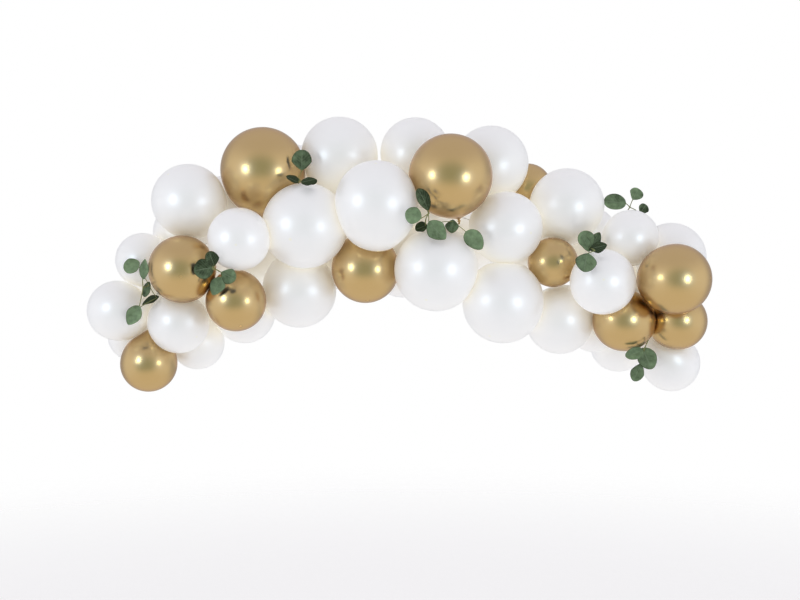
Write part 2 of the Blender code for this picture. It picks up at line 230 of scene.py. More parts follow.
class WhiteLatexLook(bpy.types.PropertyGroup):
    """Finish of the white balloons."""

    colour: a_colour("Colour", "Colour of the stretched skin", (0.985, 0.970, 0.935))
    slack_colour: a_colour("Slack colour", "Colour of the latex at neck and crown", (0.90, 0.84, 0.70))
    roughness: a_share("Roughness", "Roughness of the latex", 0.45)
    gloss_roughness: a_share("Gloss roughness", "Softness of the shine", 0.38)
    gloss_index: FloatProperty(name="Gloss index", description="Index of the clear layer", default=2.3)
    glow: a_share("Glow", "How much of the light passes through the skin", 1.0)
    glow_reach: FloatVectorProperty(
        name="Glow reach", description="How far light of each colour travels through the balloon",
        default=(0.080, 0.080, 0.080), unit="LENGTH")
    # Painted glow: the white skins give off light though they are no lamp, evenly all over and warmer where
    # neighbours crowd them, standing in for light bounced between the balloons.
    painted_seam_glow: a_colour("Seam glow", "Light passed between balloons that crowd", (0.152, 0.140, 0.116))
    painted_inner_glow: a_colour(
        "Inner glow", "Light that the skin gives back from inside the balloon", (0.076, 0.078, 0.092))


class GoldLatexLook(bpy.types.PropertyGroup):
    """Finish of the gold balloons."""

    colour: a_colour("Colour", "Colour of the metallic skin", (0.510, 0.312, 0.040))
    slack_colour: a_colour("Slack colour", "Colour where the latex is thick", (0.58, 0.40, 0.18))
    roughness: a_share("Roughness", "Roughness of the metallic pigment", 0.23)
    gloss_roughness: a_share("Gloss roughness", "Softness of the shine over the pigment", 0.34)
    gloss_index: FloatProperty(name="Gloss index", description="Index of the clear layer", default=2.45)
    gloss_tint: a_colour(
        "Gloss tint", "Colour that the clear layer gives to the pigment under it", (1.0, 0.98, 0.94))
    edge_tint: a_colour("Edge tint", "Colour of the pigment seen along the rim", (0.66, 0.46, 0.28))


class StripLook(bpy.types.PropertyGroup):
    """Size and finish of the punched strip."""

    hole_diameter: a_length("Hole diameter", "Diameter of a punched hole", 9 * MM)
    hole_pitch: a_length("Hole pitch", "Spacing of the holes", 25 * MM)
    colour: a_colour("Colour", "Colour of the clear plastic", (0.88, 0.90, 0.90))


class LeafLook(bpy.types.PropertyGroup):
    """Shape and finish of the eucalyptus."""

    fold: FloatProperty(
        name="Fold", description="Angle that each half of a leaf is folded up",
        default=math.radians(13), subtype="ANGLE")
    thickness: a_length("Thickness", "Thickness of a leaf", 0.6 * MM)
    stem_radius: a_length("Stem radius", "Radius of the stem at its thick end", 1.7 * MM)
    top_colour: a_colour("Top colour", "Colour of a leaf's top under its bloom", (0.024, 0.042, 0.014))
    bloom_colour: a_colour("Bloom colour", "Colour of the pale bloom on a leaf", (0.305, 0.450, 0.250))
    # Painted shade: the underside is coloured dark, without bloom, as a leaf's shaded side.
    under_colour: a_colour("Under colour", "Colour of a leaf's underside", (0.030, 0.050, 0.026))
    vein_colour: a_colour("Vein colour", "Colour of the veins", (0.22, 0.29, 0.185))
    stem_colour: a_colour("Stem colour", "Colour of the stems", (0.270, 0.300, 0.110))


class StudioLook(bpy.types.PropertyGroup):
    """The pale studio around the garland."""

    camera_distance: a_length("Camera distance", "From the strip to the camera", 3.556)
    camera_height: a_length("Camera height", "Height of the camera above the strip's crown", -0.298)
    lens: FloatProperty(name="Lens", description="Focal length in millimetres", default=50)
    hanging_height: a_length("Hanging height", "Height of the strip's crown above the floor", 1.9)
    light_width: a_length("Light width", "Width of each soft light", 0.46)
    light_height: a_length("Light height", "Height of each soft light", 0.58)
    light_power: FloatProperty(name="Light power", description="Watts of each soft light", default=8.6)
    light_colour: a_colour("Light colour", "Colour of the soft lights", (0.72, 0.87, 1.0))
    surround: a_colour("Surround", "Brightness at the sides", (0.98, 0.99, 1.00))
    back: a_colour("Back", "Brightness behind the garland", (0.58, 0.59, 0.61))
    below: a_colour("Below", "Brightness below, as the shine shows it", (0.92, 0.88, 0.80))
    front: a_colour("Front", "Brightness of the room in front", (0.52, 0.56, 0.60))
    front_shine: a_colour("Front shine", "Brightness in front, as the shine shows it", (0.46, 0.52, 0.42))
    above: a_colour("Above", "Brightness of the ceiling", (0.74, 0.72, 0.74))


SETTINGS = {
    "garland_balloons": BalloonShape,
    "garland_white_latex": WhiteLatexLook,
    "garland_gold_latex": GoldLatexLook,
    "garland_strip": StripLook,
    "garland_leaves": LeafLook,
    "garland_studio": StudioLook,
}


# Shader maths


class Value:
    """A shader socket that can stand in a sum."""

    def __init__(self, nodes, socket):
        self.nodes = nodes
        self.socket = socket

    def __add__(self, other):
        return self.nodes.maths("ADD", self, other)

    def __sub__(self, other):
        return self.nodes.maths("SUBTRACT", self, other)

    def __rsub__(self, other):
        return self.nodes.maths("SUBTRACT", other, self)

    def __mul__(self, other):
        return self.nodes.maths("MULTIPLY", self, other)

    __radd__ = __add__
    __rmul__ = __mul__


class Nodes:
    """The nodes of one material or of the world."""

    def __init__(self, tree):
        self.tree = tree
        tree.nodes.clear()

    def node(self, kind, settings, sockets, output=0):
        """Adds a node, sets it up, feeds its sockets and gives the named output."""
        made = self.tree.nodes.new(kind)
        for name, setting in settings.items():
            setattr(made, name, setting)
        for name, value in sockets.items():
            if isinstance(value, Value):
                self.tree.links.new(value.socket, made.inputs[name])
            else:
                made.inputs[name].default_value = value
        return Value(self, made.outputs[output]) if made.outputs else made

    def maths(self, operation, first, second=0.0):
        return self.node("ShaderNodeMath", {"operation": operation}, {0: first, 1: second})

    def clamp(self, value):
        return self.node("ShaderNodeClamp", {}, {"Value": value})

    def step(self, value, low, high):
        """A smooth step from 0 at low to 1 at high."""
        return self.node("ShaderNodeMapRange", {"interpolation_type": "SMOOTHSTEP"},
                         {"Value": value, "From Min": low, "From Max": high})

    def blend(self, share, first, second):
        """A colour between two colours."""
        return self.node("ShaderNodeMix", {"data_type": "RGBA"},
                         {0: share, 6: colour(first), 7: colour(second)}, 2)

    def noise(self, place, size, detail=2.0):
        """Cloudy noise from 0 to 1 whose clouds are about a size wide."""
        return self.node("ShaderNodeTexNoise", {}, {"Vector": place, "Scale": 1 / size, "Detail": detail})

    def place(self):
        return self.node("ShaderNodeTexCoord", {}, {}, "Object")

    def attribute(self, name):
        return self.node("ShaderNodeAttribute", {"attribute_name": name}, {}, "Fac")

    def bump(self, height, depth):
        """Surface relief that many metres deep."""
        return self.node("ShaderNodeBump", {}, {"Height": height, "Distance": depth})

    def surface(self, sockets):
        """The Principled surface, linked to the material's output."""
        shader = self.node("ShaderNodeBsdfPrincipled", {}, sockets)
        self.node("ShaderNodeOutputMaterial", {}, {"Surface": shader})


def colour(value):
    """A colour for a socket: a link as it is, or numbers with an alpha of 1."""
    return value if isinstance(value, Value) else (*value, 1.0)


def new_material(name):
    material = bpy.data.materials.new(name)
    material.use_nodes = True
    return material, Nodes(material.node_tree)


def white_latex(look):
    """Pearly white latex, creamier where it is thick and unstretched, with a painted glow all over that is
    warmer and stronger where neighbours crowd it, and a painted cream shade there.
    """
    material, nodes = new_material("white_latex")
    place = nodes.place()
    slack = nodes.attribute("slack")
    sheltered = nodes.attribute("shelter")
    batch = nodes.attribute("batch")
    cloud = nodes.noise(place, size=60 * MM)
    grain = nodes.noise(place, size=1.2 * MM, detail=3.0)
    skin = nodes.blend(cloud * 0.5 + batch * 0.5, look.colour, np.multiply(look.colour, 0.985))
    nodes.surface({
        # Creamier where the latex is slack, and a painted cream shade where neighbours crowd the skin.
        "Base Color": nodes.blend(nodes.clamp(slack * 0.9 + sheltered * 0.2), skin, look.slack_colour),
        "Roughness": look.roughness + 0.05 * (cloud - 0.5) + 0.16 * slack,
        # Painted glow: an even glow all over, blending to a warmer, stronger glow where neighbours crowd
        # the skin.
        "Emission Color": nodes.blend(sheltered, look.painted_inner_glow, look.painted_seam_glow),
        "Emission Strength": 1.0,
        "Coat Weight": 1.0 - 0.5 * slack,
        "Coat Roughness": look.gloss_roughness,
        "Coat IOR": look.gloss_index,
        "Subsurface Weight": look.glow,
        "Subsurface Radius": look.glow_reach,
        "Subsurface Scale": 1.0,
        "Normal": nodes.bump(grain, depth=0.004 * MM),
    })
    return material


def gold_latex(look):
    """Gold latex: metallic pigment under a soft clear layer, duller where the latex is thick."""
    material, nodes = new_material("gold_latex")
    place = nodes.place()
    slack = nodes.attribute("slack")
    batch = nodes.attribute("batch")
    cloud = nodes.noise(place, size=45 * MM)
    ripple = nodes.noise(place, size=30 * MM, detail=1.0)
    cooler = np.multiply(look.colour, (0.97, 0.98, 1.04))
    skin = nodes.blend(cloud * 0.6 + batch * 0.4, look.colour, cooler)
    nodes.surface({
        "Base Color": nodes.blend(slack * 0.9, skin, look.slack_colour),
        "Metallic": 1.0,
        "Roughness": look.roughness + 0.02 * (cloud - 0.5) + 0.12 * slack,
        "Coat Weight": 1.0 - 0.6 * slack,
        "Coat Roughness": look.gloss_roughness,
        "Coat IOR": look.gloss_index,
        "Coat Tint": colour(look.gloss_tint),
        "Specular Tint": colour(look.edge_tint),
        "Normal": nodes.bump(ripple, depth=0.10 * MM),
    })
    return material


def strip_plastic(look):
    """Clear soft plastic with the faint drawn lines of an extruded strip."""
    material, nodes = new_material("strip_plastic")
    drawn = nodes.node("ShaderNodeMapping", {}, {"Vector": nodes.place(), "Scale": (0.02, 1.0, 0.02)})
    lines = nodes.noise(drawn, size=0.8 * MM)
    nodes.surface({
        "Base Color": nodes.blend(lines, look.colour, np.multiply(look.colour, 0.93)),
        "Roughness": 0.30 + 0.15 * lines,
        "Transmission Weight": 0.35,
        "Normal": nodes.bump(lines, depth=0.02 * MM),
    })
    return material


def eucalyptus(look):
    """Leaves with a dusty bloom, branching veins and a pale rim, and woody olive stems; the bloom also
    carries painted shade, darker on leaves turned from the front and on one half of each leaf.
    """
    material, nodes = new_material("eucalyptus")
    place = nodes.place()
    along = nodes.attribute("along")
    across = nodes.attribute("across")
    aside = nodes.maths("ABSOLUTE", across)
    cloud = nodes.noise(place, size=14 * MM, detail=3.0)
    fleck = nodes.noise(place, size=1.5 * MM)
    ladder = nodes.maths("FRACT", along * SIDE_VEINS - aside * VEIN_SLANT)
    side_veins = 1.0 - nodes.step(nodes.maths("ABSOLUTE", ladder - 0.5), low=0.03, high=0.15)
    fading = 1.0 - nodes.step(aside, low=0.75, high=0.95)
    midrib = 1.0 - nodes.step(aside, low=0.02, high=0.07)
    veins = nodes.clamp(side_veins * 0.35 * fading + midrib * 0.8)
    rim = nodes.step(aside, low=0.90, high=0.99)
    # Bloom: dust clouds and each leaf's dust, thinner at the rim, plus painted light and shade: one half of
    # each leaf lighter than the other, and leaves turned from the front darker.
    bloom = nodes.clamp(cloud * 0.9 - 0.30 + nodes.attribute("dust") + across * 0.12 - rim * 0.25)
    top = nodes.blend(bloom, look.top_colour, look.bloom_colour)
    top = nodes.blend(veins * 0.6, top, look.vein_colour)
    # The underside: a dark colour as painted shade, with faint veins.
    under = nodes.blend(veins * 0.3, look.under_colour, look.vein_colour)
    leaf = nodes.blend(nodes.attribute("under"), top, under)
    stem = nodes.blend(fleck, look.stem_colour, np.multiply(look.stem_colour, 0.55))
    wood = nodes.attribute("stem")
    nodes.surface({
        "Base Color": nodes.blend(wood, leaf, stem),
        "Roughness": 0.50 + 0.20 * cloud + 0.06 * wood,
        "Specular IOR Level": 0.22,
        "Normal": nodes.bump(veins * -0.6 + fleck * 0.4, depth=0.18 * MM),
    })
    return material


# Reading the solids


def corner_points(node):
    """The separate corners of a solid, in metres."""
    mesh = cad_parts[node].data
    points = np.empty(len(mesh.vertices) * 3)
    mesh.vertices.foreach_get("co", points)
    return np.unique(points.reshape(-1, 3).round(6), axis=0)


def sphere_near(points):
    """Centre and radius of the sphere nearest to the points."""
    system = np.column_stack([2 * points, np.ones(len(points))])
    answer = np.linalg.lstsq(system, (points ** 2).sum(1), rcond=None)[0]
    return answer[:3], math.sqrt(answer[3] + answer[:3] @ answer[:3])


def round_skin(points):
    """Centre and radius of the sphere that holds more of the points than any other."""
    middle = points.mean(axis=0)
    points = points - middle
    draw = np.random.default_rng(SEED)
    picks = points[draw.integers(len(points), size=(SPHERE_TRIES, 4))]
    picks = picks[abs(np.linalg.det(picks[:, 1:] - picks[:, :1])) > THINNEST_PICK]
    system = np.concatenate([2 * picks, np.ones((len(picks), 4, 1))], axis=2)
    answer = np.linalg.solve(system, (picks ** 2).sum(2)[..., None])[..., 0]
    centres = answer[:, :3]
    radii = np.sqrt(answer[:, 3] + (centres ** 2).sum(1))
    off_skin = abs(np.linalg.norm(points[None] - centres[:, None], axis=2) - radii[:, None])
    held = off_skin < SKIN_TOLERANCE
    centre, radius = sphere_near(points[held[held.sum(1).argmax()]])
    return centre + middle, radius


class Balloon:
    """What a balloon's solid says of it: its round skin, its neck, and how far it is drawn out."""

    def __init__(self, node):
        points = corner_points(node)
        self.node = node
        self.centre, self.radius = round_skin(points)
        rays = points - self.centre
        distances = np.linalg.norm(rays, axis=1)
        rays /= distances[:, None]
        angles = np.arccos(np.clip(rays @ rays.T, -1, 1))
        rings = (np.diff(np.sort(angles, axis=1), axis=1) > RING_GAP).sum(1)
        pole = rings.argmin()
        between = angles[pole][(angles[pole] > RING_GAP) & (angles[pole] < math.pi - RING_GAP)]
        crowded_here = between.min() < math.pi - between.max()
        self.neck = rays[pole] if crowded_here else -rays[pole]
        from_neck = angles[pole] if crowded_here else math.pi - angles[pole]
        band = (from_neck > STRETCH_BAND[0]) & (from_neck < STRETCH_BAND[1])
        drawn = (self.radius / distances[band]) ** 2 - np.sin(from_neck[band]) ** 2
        stretches = np.cos(from_neck[band]) / np.sqrt(np.maximum(drawn, LEAST_DRAWN))
        self.stretch = max(1.0, stretches.max())
        cap = distances[from_neck < NECK_CAP]
        self.reach = cap.max() if len(cap) else self.stretch * self.radius

    def free_neck(self):
        """Length of the neck beyond the drawn out skin."""
        return self.reach - self.stretch * self.radius


@functools.cache
def read_balloon(node):
    return Balloon(node)


def strip_course():
    """The middle line of the strip's solid, from left to right."""
    points = corner_points("garland_strip")
    edge = points[points[:, 1] > points[:, 1].max() - STRIP_THICKNESS / 10]
    edge = edge[edge[:, 0].argsort()]
    paired = np.linalg.norm(np.diff(edge, axis=0), axis=1) < 1.5 * STRIP_THICKNESS
    middle = (edge[:-1][paired] + edge[1:][paired]) / 2
    middle[:, 1] = 0.0
    return middle


def walked_lengths(course):
    """How far along a course each of its points lies."""
    return np.concatenate([[0], np.cumsum(np.linalg.norm(np.diff(course, axis=0), axis=1))])


def interpolated(stations, walked, rows):
    """The rows of a table at each station between the places where they were taken."""
    return np.column_stack([np.interp(stations, walked, rows[:, axis]) for axis in range(3)])


def smooth_course(points, spacing):
    """Evenly spaced points on a smooth curve through the given points."""
    ends = np.vstack([2 * points[0] - points[1], points, 2 * points[-1] - points[-2]])
    fine = []
    shares = np.linspace(0, 1, CURVE_STEPS, endpoint=False)[:, None]
    for index in range(1, len(ends) - 2):
        before, start, end, after = ends[index - 1:index + 3]
        leave, arrive = (end - before) / 2, (after - start) / 2
        done = 3 * shares ** 2 - 2 * shares ** 3
        fine.append((1 - done) * start + (shares ** 3 - 2 * shares ** 2 + shares) * leave
                    + done * end + (shares ** 3 - shares ** 2) * arrive)
    fine = np.vstack([*fine, ends[-2:-1]])
    walked = walked_lengths(fine)
    stations = np.linspace(0, walked[-1], max(2, round(walked[-1] / spacing) + 1))
    return interpolated(stations, walked, fine)


def side_normals(points):
    """Normals square to a course in the plane of the arch, pointing up at its crown."""
    along = np.gradient(points, axis=0)
    normals = np.column_stack([-along[:, 2], np.zeros(len(points)), along[:, 0]])
    return normals / np.linalg.norm(normals, axis=1)[:, None]


def press_together(balloons, shape):
    """Lists the flats that press on each balloon: its neighbours first, then the strip."""
    course = smooth_course(strip_course(), FLATS_STEP)
    normals = side_normals(course)
    low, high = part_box("garland_strip")
    half_width = (high.y - low.y) / 2
    for balloon in balloons:
        balloon.planes, balloon.neighbours = [], []
        for other in balloons:
            apart = other.centre - balloon.centre
            distance = np.linalg.norm(apart)
            if other is balloon or distance > SHELTER_REACH * (balloon.radius + other.radius):
                continue
            balloon.neighbours.append(other)
            flat = (distance ** 2 + balloon.radius ** 2 - other.radius ** 2) / (2 * distance)
            if distance < PRESS_REACH * (balloon.radius + other.radius):
                balloon.planes.append((apart / distance, flat - shape.gap / 2))
        apart = course - balloon.centre
        distance = np.linalg.norm(apart, axis=1)
        near = distance < 2 * balloon.radius
        facing = apart[near] / distance[near][:, None]
        half = half_width * abs(facing[:, 1]) + STRIP_THICKNESS * abs((facing * normals[near]).sum(1))
        balloon.strip_flats = facing, distance[near] - half - shape.strip_gap


# Balloons


def soft_least(first, second, blend):
    """The lesser of two lengths, rounded off where they are nearly the same."""
    near = np.clip(blend - abs(first - second), 0, None) / blend
    return np.minimum(first, second) - near ** 2 * blend / 4


def length_to(flat, facing, ray):
    """How far each ray runs before it meets a flat, if it faces the flat."""
    towards = ray @ facing
    return np.where(towards > LEAST_FACING, flat / np.maximum(towards, LEAST_FACING), BEYOND)


def pressed(distance, ray, balloon, blend):
    """Shortens the distances along rays from a balloon's centre to where its neighbours press on it."""
    for facing, flat in balloon.planes:
        distance = soft_least(distance, length_to(flat, facing, ray), blend)
    facing, flats = balloon.strip_flats
    if len(flats):
        distance = soft_least(distance, length_to(flats, facing.T, ray).min(axis=1), blend)
    return distance


def neck_rings(balloon, shape):
    """The rings of a balloon from crown to tail: (along, out), how slack, and how far along the knot."""
    radius, stretch = balloon.radius, balloon.stretch
    free = balloon.free_neck()
    necked = free > shape.shortest_neck
    size = min(LARGEST_KNOT, KNOT_SHARE * free / KNOT_LENGTH)
    body = np.linspace(math.pi, FLARE_FROM, shape.rings)[1:]
    if necked:
        smallest = math.atan2(shape.neck_radius * size, stretch * radius)
        angles = np.concatenate([body, np.geomspace(FLARE_FROM, smallest, FLARE_RINGS)[1:]])
        swell = (free - KNOT_LENGTH * size) * np.exp(-(angles - smallest) / shape.neck_flare)
    else:
        angles = np.concatenate([body, np.linspace(FLARE_FROM, 0, STUB_RINGS)[1:-1]])
        swell = max(0.0, free) * np.exp(-(angles / STUB_WIDTH) ** 2)
    lower = np.where(angles < math.pi / 2, stretch, 1.0)
    distance = radius / np.hypot(np.sin(angles), np.cos(angles) / lower) + swell
    rings = np.column_stack([distance * np.cos(angles), distance * np.sin(angles)])
    slack = NECK_SLACK * np.exp(-(angles / NECK_SLACK_WIDTH) ** 2) * necked
    slack += CROWN_SLACK * np.exp(-((math.pi - angles) / CROWN_SPOT) ** 2)
    past = np.zeros(len(rings))
    if necked:
        ends = np.array(KNOT) * MM * size
        rings = np.vstack([rings, ends + (rings[-1, 0], 0)])
        slack = np.concatenate([slack, np.ones(len(ends))])
        past = np.concatenate([past, ends[:, 0] / (KNOT_LENGTH * size)])
    return rings, slack, past


# This shelter is the mask of the white balloons' painted glow and painted cream shade.
def shelter(points, rays, balloon):
    """How much of the open space before each point of a skin its neighbours fill, from 0 to 1."""
    filled = np.zeros(len(points))
    for other in balloon.neighbours:
        apart = other.centre - points
        distance = np.maximum(np.linalg.norm(apart, axis=1), other.radius)
        facing = (apart * rays).sum(1) / distance
        filled += (other.radius / distance) ** 2 * np.clip(facing, 0, None)
    return np.clip(filled, 0, 1) ** SHELTER_BEND


def gathered(rings, slack, past, shape, draw):
    """Points around each ring, pleated at the neck, twisted at the knot and flattened at the tail."""
    around = np.arange(shape.segments) * 2 * math.pi / shape.segments
    phase, twist, lean = draw.uniform(0, 2 * math.pi, 3)
    pleats = slack * (past < TIED_FROM) + TAIL_PLEATS * (past > TAIL_PLEATS_FROM)
    ruffle = 1 + shape.pleat_depth * pleats[:, None] * np.cos(shape.pleats * around + phase)
    tied = ((past > TIED_FROM) & (past < TIED_TO))[:, None]
    wrap = 1 + TIE_LUMP * tied * np.cos(2 * around + twist + TIE_TWIST * past[:, None])
    out = rings[:, 1:] * ruffle * wrap
    tail = np.clip(past - TIED_TO, 0, 1)[:, None]
    first = out * np.cos(around) * (1 + TAIL_WIDER * tail)
    second = out * np.sin(around) * (1 - TAIL_FLATTER * tail) + tail ** 2 * TAIL_LEAN * math.sin(lean)
    return first, second


def blow_up(balloon, shape, draw):
    """The fine skin of a balloon: its vertices, its faces, and how slack and how sheltered it is."""
    rings, slack, past = neck_rings(balloon, shape)
    first, second = gathered(rings, slack, past, shape, draw)
    steep = abs(balloon.neck[2]) > STEEP
    upright = np.cross(balloon.neck, (1.0, 0, 0) if steep else (0, 0, 1.0))
    upright /= np.linalg.norm(upright)
    aside = np.cross(balloon.neck, upright)
    local = (first[..., None] * upright + second[..., None] * aside
             + rings[:, :1, None] * balloon.neck).reshape(-1, 3)
    tail_end = rings[-1, 0] if past.any() else balloon.reach
    local = np.vstack([local, -balloon.radius * balloon.neck, tail_end * balloon.neck])
    distance = np.linalg.norm(local, axis=1)
    ray = local / distance[:, None]
    distance = pressed(distance, ray, balloon, shape.pressed_edge * balloon.radius)
    slack = np.concatenate([np.repeat(slack, shape.segments), [CROWN_SLACK, slack[-1]]])
    points = balloon.centre + distance[:, None] * ray
    return points, tube_faces(len(rings), shape.segments), slack, shelter(points, ray, balloon)


def band_faces(here, there, count):
    """Faces between two closed rings of so many vertices, given each ring's first vertex."""
    after = [(index + 1) % count for index in range(count)]
    return [(here + index, here + after[index], there + after[index], there + index)
            for index in range(count)]


def tube_faces(rings, segments):
    """Faces of a tube of rings that is closed by one more vertex at each end."""
    faces = []
    for ring in range(rings - 1):
        faces += band_faces(ring * segments, (ring + 1) * segments, segments)
    start, end = rings * segments, rings * segments + 1
    last = (rings - 1) * segments
    for segment in range(segments):
        after = (segment + 1) % segments
        faces += [(start, after, segment), (end, last + segment, last + after)]
    return faces


def placed(name, data):
    """An object of the scene, made from its mesh, light or camera."""
    made = bpy.data.objects.new(name, data)
    bpy.context.scene.collection.objects.link(made)
    return made


def add_piece(name, vertices, faces, material, node, attributes):
    """Makes a smooth mesh piece that rides on the garland and stands for one of its solids."""
    mesh = bpy.data.meshes.new(name)
    mesh.from_pydata([tuple(vertex) for vertex in vertices], [], faces)
    for title, values in attributes.items():
        layer = mesh.attributes.new(title, "FLOAT", "POINT")
        layer.data.foreach_set("value", np.asarray(values, dtype=np.float32))
    mesh.materials.append(material)
    mesh.shade_smooth()
    mesh.update()
    piece = placed(name, mesh)
    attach(piece, "root")
    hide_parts(node)
    return piece


def dress_balloons(colour_name, material):
    """Blows up every balloon of one colour."""
    shape = bpy.context.scene.garland_balloons
    balloons = [read_balloon(node) for node in sorted(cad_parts) if "_balloon_" in node]
    press_together(balloons, shape)
    for number, balloon in enumerate(balloons):
        if not balloon.node.startswith(colour_name):
            continue
        draw = np.random.default_rng(SEED + number)
        vertices, faces, slack, sheltered = blow_up(balloon, shape, draw)
        batch = np.full(len(vertices), draw.uniform())
        add_piece(f"{balloon.node}_skin", vertices, faces, material, balloon.node,
                  {"slack": slack, "shelter": sheltered, "batch": batch})


# Strip


def punched_cells(cells, pitch, width, radius):
    """The strip laid flat, a cell for each hole: vertices (along, across, level) and faces."""
    side = np.linspace(-1, 1, CELL_SIDE_FACES + 1)[:-1]
    edge = np.ones(CELL_SIDE_FACES)
    outline = np.column_stack([np.concatenate([side, edge, -side, -edge]),
                               np.concatenate([-edge, side, edge, -side])])
    outline *= (pitch / 2, width / 2)
    angles = np.arctan2(outline[:, 1], outline[:, 0])
    hole = radius * np.column_stack([np.cos(angles), np.sin(angles)])
    count = len(outline)
    below = -STRIP_THICKNESS
    vertices, faces = [], []
    for cell in range(cells):
        base = len(vertices)
        middle = (cell + 0.5) * pitch
        for ring, level in ((outline, 0.0), (hole, 0.0), (hole, below), (outline, below)):
            vertices += [(middle + along, across, level) for along, across in ring]
        for ring in range(3):
            faces += band_faces(base + ring * count, base + (ring + 1) * count, count)
        rim = band_faces(base + 3 * count, base, count)
        open_sides = {1} if cell < cells - 1 else set()
        open_sides |= {3} if cell > 0 else set()
        faces += [face for point, face in enumerate(rim) if point // CELL_SIDE_FACES not in open_sides]
    return np.array(vertices), faces


def merged(vertices, faces):
    """Joins vertices that lie in the same place."""
    _, first, place = np.unique(vertices.round(6), axis=0, return_index=True, return_inverse=True)
    place = place.reshape(-1)
    return vertices[first], [tuple(int(place[corner]) for corner in face) for face in faces]


# Eucalyptus


class Leaf:
    """What a sprig's solid says of one leaf: where it lies, its size and which way it faces."""

    def __init__(self, corners, normal):
        def lopsided(index):
            start = corners[index]
            axis = (corners[index + 3] - start).normalized()
            gap = 0.0
            for one, other in ((index + 1, index - 1), (index + 2, index - 2)):
                arm = corners[one] - start
                gap += (start + 2 * axis * arm.dot(axis) - arm - corners[other]).length
            return gap

        index = min(range(3), key=lopsided)
        start, end = corners[index], corners[index + 3]
        axis = (end - start).normalized()
        if (corners[index + 1] - start).dot(axis) > (end - corners[index + 2]).dot(axis):
            start, end, shoulder = end, start, corners[index + 1] - corners[index - 1]
        else:
            shoulder = corners[index + 2] - corners[index - 2]
        self.base, self.tip = start, end
        self.width = shoulder.length / LEAF_SHOULDER
        self.out = normal
        self.joint = start.lerp(end, LEAF_JOINT)
        self.corners = corners


def flat_faces(mesh):
    """Groups the faces of a solid that lie in one plane."""
    groups = []
    for face in mesh.polygons:
        level = face.normal.dot(mesh.vertices[face.vertices[0]].co)
        for group in groups:
            if (group[0] - face.normal).length < SAME_SLOPE and abs(group[1] - level) < SAME_LEVEL:
                group[2].append(face)
                break
        else:
            groups.append((face.normal.copy(), level, [face]))
    return groups


def separate(points):
    """The places where points lie, each once, to a hundredth of a millimetre."""
    return [Vector(place) for place in sorted({tuple(round(x, 5) for x in point) for point in points})]


def outline_corners(mesh, faces, normal):
    """The corners of the outline of faces that lie in one plane, in order."""
    points = separate(mesh.vertices[index].co for face in faces for index in face.vertices)
    first = normal.orthogonal().normalized()
    second = normal.cross(first)
    order = geometry.convex_hull_2d([(point.dot(first), point.dot(second)) for point in points])
    ring = [points[index] for index in order]
    return [here for before, here, after in zip(ring[-1:] + ring[:-1], ring, ring[1:] + ring[:1])
            if (here - before).angle(after - here) > LEAST_TURN]


def mend_corner(ring):
    """Puts back a corner that a stem has cut off an outline, where its shortest side now lies."""
    count = len(ring)
    cut = min(range(count), key=lambda index: (ring[(index + 1) % count] - ring[index]).length)
    before, start, end, after = (ring[(cut + step) % count] for step in (-1, 0, 1, 2))
    corner = geometry.intersect_line_line(before, start, after, end)[0]
    return [corner] + [ring[(cut + step) % count] for step in range(2, count)]


def read_sprig(node):
    """The leaves of a sprig's solid, its root and the joints of its stems."""
    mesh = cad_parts[node].data
    leaves = []
    for normal, _, faces in flat_faces(mesh):
        if normal.y > -LEAST_TURN or sum(face.area for face in faces) < LEAF_FACE:
            continue
        corners = outline_corners(mesh, faces, normal)
        if len(corners) == LEAF_CORNERS + 1:
            corners = mend_corner(corners)
        if len(corners) == LEAF_CORNERS:
            leaf = Leaf(corners, normal)
            if leaf.width > LEAST_WIDTH:
                leaves.append(leaf)
    leaves.sort(key=lambda leaf: leaf.base.x)
    plate = [corner - level * leaf.out
             for leaf in leaves for corner in leaf.corners for level in (0, LEAF_PLATE)]
    clusters = []
    for point in separate(vertex.co for vertex in mesh.vertices):
        if min((point - corner).length for corner in plate) < ON_PLATE:
            continue
        near = [cluster for cluster in clusters
                if min((point - other).length for other in cluster) < JOINT_REACH]
        clusters = [cluster for cluster in clusters if cluster not in near]
        clusters.append([point] + [other for cluster in near for other in cluster])
    joints = [(sum(cluster, Vector()) / len(cluster), len(cluster)) for cluster in clusters]
    course = strip_course()
    root = min((place for place, _ in joints),
               key=lambda place: min(np.linalg.norm(course - place, axis=1)))
    apart = [(place, count) for place, count in joints
             if place != root and min((place - leaf.joint).length for leaf in leaves) > HEART_CLEAR]
    heart = max(apart, key=lambda joint: joint[1])[0]
    return leaves, root, heart


def leaf_top(leaf, look, along, across, draw):
    """The top of a leaf: folded, slightly waved, more or less pointed at its base and its tip."""
    length = (leaf.tip - leaf.base).length
    widest = draw.uniform(*WIDEST_AT)
    from_widest = np.where(along < widest, 1 - along / widest, (along - widest) / (1 - widest))
    roundness = np.where(along < widest, draw.uniform(*BASE_ROUNDNESS), draw.uniform(*TIP_ROUNDNESS))
    half = (1 - from_widest ** roundness) ** (1 / roundness)
    half = (leaf.width / 2 * half / half.max())[:, None]
    share = along[:, None]
    fold = math.tan(look.fold * draw.uniform(*FOLD_SHARE))
    wave = draw.uniform(*WAVE_SHARE) * np.sin(
        2 * math.pi * (draw.uniform(*WAVES_ALONG) * share + draw.uniform()))
    curl = draw.uniform(*CURL) * length
    sway = draw.uniform(*SWAY) * length
    lift = half * fold * np.sqrt(across ** 2 + FOLD_ROUNDING) + WAVE_HEIGHT * wave * across ** 2
    lift += curl * (share - CURL_ABOUT) ** 2 - MIDRIB_DEPTH * np.exp(-(across * half / MIDRIB_WIDTH) ** 2)
    quilt = np.cos(2 * math.pi * (SIDE_VEINS * share - VEIN_SLANT * abs(across)))
    lift += QUILT_HEIGHT * quilt * abs(across) * (1 - across ** 2)
    axis = np.array((leaf.tip - leaf.base).normalized())
    out = np.array(leaf.out)
    spread = half * across + sway * np.sin(math.pi * share)
    return (np.array(leaf.base) + (share * length)[..., None] * axis
            + spread[..., None] * np.cross(out, axis) + lift[..., None] * out)


